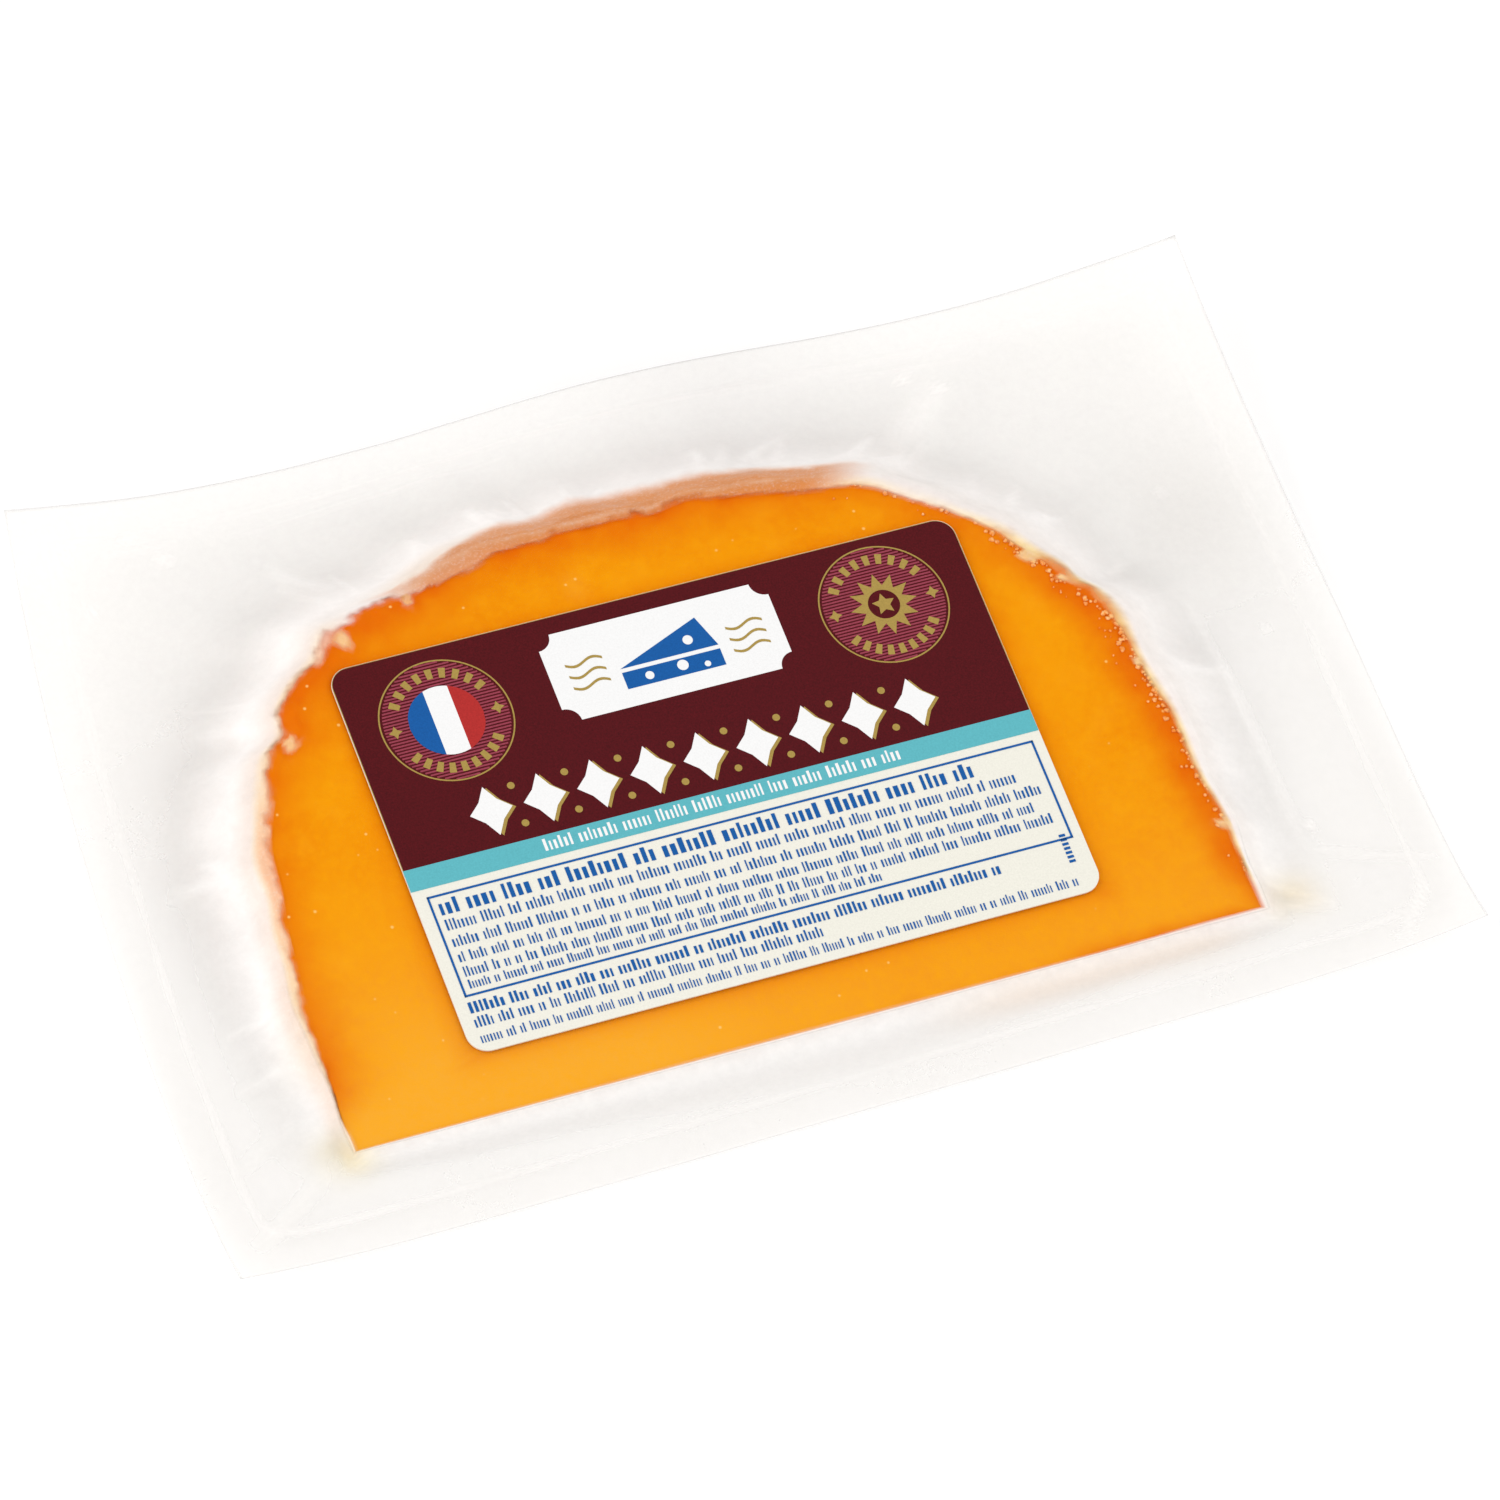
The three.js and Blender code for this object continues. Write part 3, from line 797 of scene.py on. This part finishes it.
def dress_film(piece, points, away, white, share, degrees):
    """Where the film is milky, tinted or clings: away is the distance out from the rim's shoulder."""
    x, y, z = points.T
    ragged = 0.9 * noise_at(x, y, 0, 3) + 0.5 * noise_at(x, y, 7, 1.2)
    right_side, far_side, left_side = rim_sides(degrees)
    left_strip = bell(degrees % 360, 174, 11)

    # Off the face from about a millimetre short of the rim's shoulder, sooner or later in places
    sooner = far_side * (0.15 + bells(degrees, FAR_LIFT))
    sooner += right_side * (bells(degrees, RIGHT_LIFT) - 0.1)
    sooner += bells(degrees, LEFT_LIFT) + 0.15 * left_strip
    lift = away + (0.4 * ragged + sooner) * share
    off_face = smoothstep(lift * (1 - 0.37 * right_side), -1.2 - 0.1 * right_side, -0.5)

    # Milky near the cheese and clearer farther out, and milkier where painted shade lies behind it and
    # in a patch at right
    behind = smoothstep(y, 30, 50) * bell(x, PAINTED_SHADE_X, HUMP_WIDTH / 2) * smoothstep(away, 2, 7)
    painted_shade_patch = bell(x, 86, 12) * bell(y, 22, 14)
    near_rind = smoothstep(-away, -13, -2) * (0.74 - 0.1 * far_side * smoothstep(-away, -4, -1))
    by_edge = (1 - share) * smoothstep(x, -82, -78) * smoothstep(-x, -72, -68)
    haze = 0.2 + 0.06 * smoothstep(y, 0, 40) + 0.15 * behind + 0.18 * painted_shade_patch + share * near_rind
    haze += 0.7 * by_edge * smoothstep(-away, -9, -1)
    haze += np.minimum(white, 0.5) + 0.05 * noise_at(x, y, 2, 14)
    smear = sum(bell(np.hypot(x - smear_x, y - smear_y), 0, size) for (smear_x, smear_y), size in SMEARS)
    streaks = np.clip(2 * smear + 1.2 * ragged - 0.9, 0, 0.62)
    smear = np.minimum(3 * smear, 1) * streaks * (z > SOLID_FILM)
    haze = np.maximum(off_face * haze, smear * smoothstep(-away, -2, 0))
    give(piece, "haze", np.clip(haze, 0, MOST_HAZE))
    give(piece, "cling", 1 - off_face)

    # On the far side the rind shows through the film as a peach band that shrinks at its left end
    shrink = bell(degrees, 121, 12)
    reach_out = 5.2 + 0.6 * bell(degrees, 92, 8) - 5.3 * shrink - 2 * bell(degrees, 58, 9)
    band = smoothstep(-away - 0.7 * ragged * (1 - 0.7 * shrink), -reach_out, 1.7 * shrink - 0.94)
    # Painted highlight: a fold's sheen drawn as a pale tint along the band's inner edge
    painted_highlight_line = bell(away + 0.12 * ragged, -0.65, 0.15)
    warm_left = 0.35 * left_side + 0.45 * bell(degrees % 360, 195, 12)
    right_cream = right_side * (1 - 0.7 * bell(degrees, 42, 10)) * share
    right_cream *= smoothstep(-away + 0.5 * bell(degrees, 18, 10), 0.55, 1.3)
    # Painted glow: light bounced from the cheese, drawn as a warm tint on the film beyond its straight
    # edge
    painted_glow_line = bell(y, EDGE_Y - 3, 3) * smoothstep(x, 5, 30) * smoothstep(-x, -70, -55)
    tints = [
        # Rind seen faintly through the loose film
        ((0.1 + 0.5 * far_side) * share * smoothstep(-away, -4.5, 0), (250, 228, 204)),
        (warm_left * share * smoothstep(-away, -3.5, 0), (242, 214, 193)),
        # Cream where the film begins to lift, and in the smears
        (right_cream, (255, 229, 150)),
        (0.6 * left_side * share * smoothstep(-away, -0.2, 0.6), (255, 226, 160)),
        (2.5 * smear, (255, 238, 176)),
        # The peach band, and a painted highlight of a fold in the film along its inner edge
        (far_side * band * (1 - 0.12 * shrink), (227, 145, 76)),
        ((0.32 + 0.2 * ragged) * far_side * painted_highlight_line, (248, 216, 186)),
        # Painted grey shade behind the cheese and in a patch at right, and a peach strip at the rim's
        # left end
        (0.4 * behind, (232, 230, 229)),
        (0.36 * painted_shade_patch, (228, 225, 221)),
        (0.8 * left_strip * share * smoothstep(-away, 0.1, 0.6), (250, 191, 150)),
        # Yellow at the cheese's corners, faint colour beside its lower left, and a painted glow of light
        # from the cheese beside its straight edge
        (0.7 * bell(x, -80, 4) * bell(y, -52.5, 4), (255, 241, 196)),
        (0.5 * bell(x, 73, 5) * bell(y, -51, 4), (255, 238, 200)),
        (0.3 * bell(x, -80, 4) * bell(y, -35, 6), (246, 230, 206)),
        (0.3 * painted_glow_line, (252, 222, 190)),
    ]
    colour = np.tile(np.array(shade(*FILM_WHITE)[:3]), (len(points), 1))
    for amount, seen in tints:
        amount = np.clip(amount, 0, 1)[:, None]
        colour = colour * (1 - amount) + np.array(shade(*seen)[:3]) * amount
    give(piece, "film_colour", colour)


def label_point(s, t, height):
    """A point of the label: s from its left edge, t down from its top edge, height over the cut face."""
    up = LABEL_TOP - np.asarray(t)
    y = EDGE_Y + up * math.cos(WEDGE_ANGLE) - height * math.sin(WEDGE_ANGLE)
    z = EDGE_THICKNESS + up * math.sin(WEDGE_ANGLE) + height * math.cos(WEDGE_ANGLE)
    return np.stack([LABEL_LEFT + np.asarray(s), y, z], axis=-1)


class Sheet:
    """Flat prisms of one colour, gathered into one piece."""

    def __init__(self, name, material):
        self.name, self.material = name, material
        self.points, self.faces = [], []

    def stamp(self, outline, layer, low=PAPER_HIGH - 0.01):
        """A prism over an outline of (s, t) points, from low up to the top of a layer of ink."""
        high = PAPER_HIGH + INK * layer
        s, t = np.array(outline, dtype=float).T
        first, count = sum(len(part) for part in self.points), len(s)
        self.points += [label_point(s, t, low), label_point(s, t, high)]
        lower = list(range(first, first + count))
        upper = list(range(first + count, first + 2 * count))
        area = np.dot(s, np.roll(t, -1)) - np.dot(t, np.roll(s, -1))
        faces = [lower[::-1], upper]
        for i in range(count):
            j = (i + 1) % count
            faces.append([lower[i], lower[j], upper[j], upper[i]])
        # An outline may run either way round, and where its faces would look inward they are turned
        self.faces += [face[::-1] for face in faces] if area > 0 else faces

    def bar(self, s, t, width, height, layer):
        self.stamp([(s, t), (s + width, t), (s + width, t + height), (s, t + height)], layer)

    def arc(self, middle, inner, outer, start, end, layer, steps=24):
        """Part of a ring, with angles in degrees."""
        s, t = middle
        turns = [math.radians(start + (end - start) * i / steps) for i in range(steps + 1)]
        rim = [(s + outer * math.cos(a), t + outer * math.sin(a)) for a in turns]
        hole = [(s + inner * math.cos(a), t + inner * math.sin(a)) for a in reversed(turns)]
        self.stamp(rim + hole, layer)

    def build(self):
        points = np.concatenate(self.points)
        return mesh_piece(self.name, points, self.faces, self.material, smooth=False)


def rounded(left, top, right, bottom, radii, steps=6):
    """A rectangle with a radius for each corner, from the top left one round by the right."""
    corners = [
        (left, top, 1, 1, 180),
        (right, top, -1, 1, 270),
        (right, bottom, -1, -1, 0),
        (left, bottom, 1, -1, 90),
    ]
    outline = []
    for (s, t, inward_s, inward_t, start), radius in zip(corners, radii):
        if radius == 0:
            outline.append((s, t))
            continue
        for i in range(steps + 1):
            angle = math.radians(start + 90 * i / steps)
            middle_s, middle_t = s + inward_s * radius, t + inward_t * radius
            outline.append((middle_s + radius * math.cos(angle), middle_t + radius * math.sin(angle)))
    return outline


def disc(middle, radius, steps=64):
    turns = [2 * math.pi * i / steps for i in range(steps)]
    return [(middle[0] + radius * math.cos(a), middle[1] + radius * math.sin(a)) for a in turns]


def star(middle, radius, depth, points):
    """A star, whose inner corners lie at depth times its radius."""
    outline = []
    for i in range(2 * points):
        a = math.pi * i / points - math.pi / 2
        reach_out = radius if i % 2 == 0 else radius * depth
        outline.append((middle[0] + reach_out * math.cos(a), middle[1] + reach_out * math.sin(a)))
    return outline


def lozenge(s, t, half_width, half_height, waist=0.6):
    """A tall four-pointed ornament with hollow sides."""
    outline = []
    for i in range(4):
        a = math.pi / 2 * i
        outline.append((s + half_width * math.cos(a), t + half_height * math.sin(a)))
        b = a + math.pi / 4
        outline.append((s + waist * half_width * math.cos(b), t + waist * half_height * math.sin(b)))
    return outline


def chord_stripe(middle, radius, left, right, steps=16):
    """The part of a disc between two upright lines."""

    def edge(s, side):
        return (s, middle[1] + side * math.sqrt(max(radius**2 - (s - middle[0]) ** 2, 0)))

    across = [left + (right - left) * i / steps for i in range(steps + 1)]
    return [edge(s, -1) for s in across] + [edge(s, 1) for s in reversed(across)]


def dummy_words(sheet, left, right, top, size, weight, layer):
    """A line of plain marks the size of small print."""
    s = left
    while s < right - size:
        for _ in range(random.randint(2, 8)):
            width = size * random.uniform(0.15, 0.26) * weight
            if s + width > right:
                return
            tall = random.random() < 0.3
            rise = size * 0.35 if tall else 0
            sheet.bar(s, top - rise, width, size + rise, layer)
            s += width + size * 0.27
        s += size * 0.5


def print_fields(paper, maroon, teal, gold, white):
    """The paper, a dark field with a gold border, and a pale band with one line of marks."""
    right, corner = LABEL_WIDTH, LABEL_CORNER
    paper.stamp(rounded(0, 0, right, LABEL_HEIGHT, [corner] * 4, 10), 0, PAPER_LOW)
    for sheet, layer, inset, radius in [
        (gold, BORDER, BORDER_INSET, corner),
        (maroon, FIELD, BORDER_INSET + BORDER_WIDTH, corner - 0.2),
    ]:
        sheet.stamp(rounded(inset, inset, right - inset, BAND_TOP, [radius, radius, 0, 0], 10), layer)
    teal.bar(BORDER_INSET, BAND_TOP, right - 2 * BORDER_INSET, BAND_BOTTOM - BAND_TOP, FIELD)
    dummy_words(white, 22, 80, BAND_TOP + 1.15, 1.5, 1.25, MARK)


def print_ornaments(gold, white):
    """Hollow-sided ornaments with gold shadows, as wide as a row of capitals, and dots between."""
    left, right, middle, count = 12, 89.5, 29.2, 9
    step = (right - left) / count
    for i in range(count):
        s = left + step * (i + 0.5)
        gold.stamp(lozenge(s + 0.5, middle + 0.25, 3.4, 4.2), MARK)
        white.stamp(lozenge(s, middle, 3.4, 4.2), OVER_MARK)
        if i < count - 1:
            for side in (1, -1):
                gold.stamp(disc((s + step / 2, middle + 3.3 * side), 0.6, 16), MARK)


def print_plaque(gold, white, blue):
    """A white plaque with scooped corners, a plain wedge of cheese in blue and gold waves beside it."""
    left, right, top, bottom, scoop = 32.5, 70, 3, 18.2, 2.4
    scoop_steps = 8
    outline = []
    for s, t, start in [(left, top, 90), (right, top, 180), (right, bottom, 270), (left, bottom, 0)]:
        for i in range(scoop_steps + 1):
            a = math.radians(start - 90 * i / scoop_steps)
            outline.append((s + scoop * math.cos(a), t + scoop * math.sin(a)))
    white.stamp(outline, MARK)
    blue.stamp([(43.5, 11.6), (57.5, 6.2), (59.5, 11.6)], OVER_MARK)
    blue.stamp([(43.5, 12.3), (59.5, 12.3), (59.5, 15.2), (43.5, 15.2)], OVER_MARK)
    holes = [((47.5, 13.8), 0.7), ((53, 13.5), 0.9), ((56.8, 14.3), 0.5), ((55.2, 9.6), 0.8)]
    for middle, radius in holes:
        white.stamp(disc(middle, radius, 20), TOP_MARK)
    wave_steps = 14
    for wave_left, rise in ((35.5, 0), (61.5, 0.4)):
        for level in (8.6, 10.6, 12.6):
            across = [wave_left + 6 * i / wave_steps for i in range(wave_steps + 1)]
            upper = [(s, level + rise + 0.5 * math.sin(1.05 * (s - wave_left))) for s in across]
            lower = [(s, t + 0.45) for s, t in reversed(upper)]
            gold.stamp(upper + lower, OVER_MARK)


def print_badges(maroon, rose, gold, white, blue, red):
    """Two hatched discs in gold rings, one with three plain stripes and one with a star."""
    left_badge, right_badge = (15, 12.7), (86.7, 11.9)
    for middle, radius in ((left_badge, 10.2), (right_badge, 10)):
        s, t = middle
        for i in range(HATCH_ROWS):
            row = t - radius + 2 * radius * (i + 0.5) / HATCH_ROWS
            half = math.sqrt(max(radius**2 - (row - t) ** 2, 0)) - 0.4
            if half > 0.3:
                rose.bar(s - half, row - 0.14, 2 * half, 0.28, MARK)
        gold.arc(middle, radius, radius + 0.24, 0, 360, MARK, 72)
        for start, end in ((205, 335), (30, 150)):
            for i in range(RING_MARKS):
                a = start + (end - start) * (i + 0.5) / RING_MARKS
                gold.arc(middle, radius - 2.9, radius - 1.2, a - 4, a + 3, OVER_MARK, 3)
        for side in (-1, 1):
            gold.stamp(star((s + side * (radius - 2), t), 1.1, 0.5, 4), OVER_MARK)
    inner_radius = 5.9
    third = inner_radius / 3
    for sheet, start, end in ((blue, -3, -1), (white, -1, 1), (red, 1, 3)):
        left, right = left_badge[0] + start * third, left_badge[0] + end * third
        sheet.stamp(chord_stripe(left_badge, inner_radius, left, right), OVER_MARK)
    gold.stamp(star(right_badge, 5.4, 0.62, 12), OVER_MARK)
    maroon.stamp(disc(right_badge, 2.5, 32), TOP_MARK)
    gold.stamp(star(right_badge, 1.9, 0.5, 5), LAST_MARK)


def print_panel(blue):
    """A framed panel, lines of marks in it and under it, and a short column of bars at the right."""
    left, right, top, bottom, rule = 2, 100.4, 40.3, 57.7, 0.34
    for level in (top, bottom - rule):
        blue.bar(left, level, right - left, rule, FIELD)
    for side in (left, right - rule):
        blue.bar(side, top, rule, bottom - top, FIELD)
    for line_left, line_right, line_top, size, weight in PRINT_LINES:
        dummy_words(blue, line_left, line_right, line_top, size, weight, FIELD)
    for i in range(7):
        blue.bar(98.3, 61.2 - 0.75 * i, 1, 0.42, FIELD)


def build_label():
    """The paper and its print, with one piece for each colour."""
    sheets = []
    for name, seen, roughness, metallic, contrast in [
        ("label_sheet", (229, 227, 216), 0.7, 0, 0.05),
        ("print_maroon", (79, 8, 16), 0.6, 0, 0.3),
        ("print_teal", (91, 175, 185), 0.6, 0, 0.08),
        ("print_rose", (146, 60, 76), 0.6, 0, 0.2),
        ("print_gold", (168, 142, 74), 0.45, 0.25, 0.12),
        ("print_white", (235, 235, 235), 0.6, 0, 0.04),
        ("print_blue", (17, 86, 156), 0.6, 0, 0.12),
        ("print_red", (172, 43, 41), 0.6, 0, 0.12),
    ]:
        look = printed_material(name + "_look", shade(*seen), roughness, metallic, contrast)
        sheets.append(Sheet(name, look))
    paper, maroon, teal, rose, gold, white, blue, red = sheets
    print_fields(paper, maroon, teal, gold, white)
    print_ornaments(gold, white)
    print_plaque(gold, white, blue)
    print_badges(maroon, rose, gold, white, blue, red)
    print_panel(blue)
    pieces = [sheet.build() for sheet in sheets]
    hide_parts("label")


def stage_material(name, seen):
    material, tree, output = new_material(name)
    clouds = span(tree, grain(tree, 120, 2), 0.3, 0.7, 0, 0.04)
    tone = mix(tree, clouds, shade(*seen), (0.9, 0.9, 0.9, 1))
    solid_surface(tree, output, {"Base Color": tone, "Roughness": 0.95, "Specular IOR Level": 0.0})
    return material


def build_stage():
    """A pale floor just under the pack."""
    half, level = 2500, -0.3
    corners = [(-half, -half, level), (half, -half, level), (half, half, level), (-half, half, level)]
    mesh = bpy.data.meshes.new("floor")
    mesh.from_pydata((np.array(corners) * MM).tolist(), [], [[0, 1, 2, 3]])
    mesh.materials.append(stage_material("floor_look", (250, 250, 250)))
    floor = bpy.data.objects.new("floor", mesh)
    bpy.context.scene.collection.objects.link(floor)


def soft_light(name, direction, distance, size, power):
    data = bpy.data.lights.new(name, "AREA")
    data.shape = "SQUARE"
    data.size = size
    data.energy = power
    light = bpy.data.objects.new(name, data)
    back = Vector(direction).normalized()
    light.location = back * distance
    light.rotation_mode = "QUATERNION"
    light.rotation_quaternion = (-back).to_track_quat("-Z", "Y")
    bpy.context.scene.collection.objects.link(light)


def build_lights():
    soft_light("key_right", (1, 0.3, 0.75), 1.5, 1.0, 4.2)
    soft_light("fill_left", (-1, 0.15, 0.6), 1.5, 1.2, 10)
    soft_light("fill_front", (0.3, -1, 0.6), 1.6, 1.2, 6.5)
    world = bpy.data.worlds.new("studio")
    world.use_nodes = True
    background = world.node_tree.nodes["Background"]
    background.inputs["Color"].default_value = (1, 0.99, 0.98, 1)
    background.inputs["Strength"].default_value = STUDIO_STRENGTH
    bpy.context.scene.world = world
    bpy.context.scene.view_settings.view_transform = "Standard"


def build_camera():
    """The photograph's viewpoint."""
    level = math.cos(CAMERA_ELEVATION)
    back_x = math.sin(CAMERA_AZIMUTH) * level
    back_y = -math.cos(CAMERA_AZIMUTH) * level
    back = Vector((back_x, back_y, math.sin(CAMERA_ELEVATION)))
    data = bpy.data.cameras.new("camera")
    data.lens = CAMERA_LENS
    data.sensor_width = CAMERA_SENSOR
    data.clip_start, data.clip_end = 0.1, 20
    camera = bpy.data.objects.new("camera", data)
    camera.location = (Vector(CAMERA_AIM) + back * CAMERA_DISTANCE) * MM
    camera.rotation_mode = "QUATERNION"
    camera.rotation_quaternion = (-back).to_track_quat("-Z", "Y") @ Quaternion((0, 0, 1), CAMERA_ROLL)
    bpy.context.scene.collection.objects.link(camera)
    bpy.context.scene.camera = camera


build_cheese()
build_crumbs()
build_film()
build_label()
build_stage()
build_lights()
build_camera()
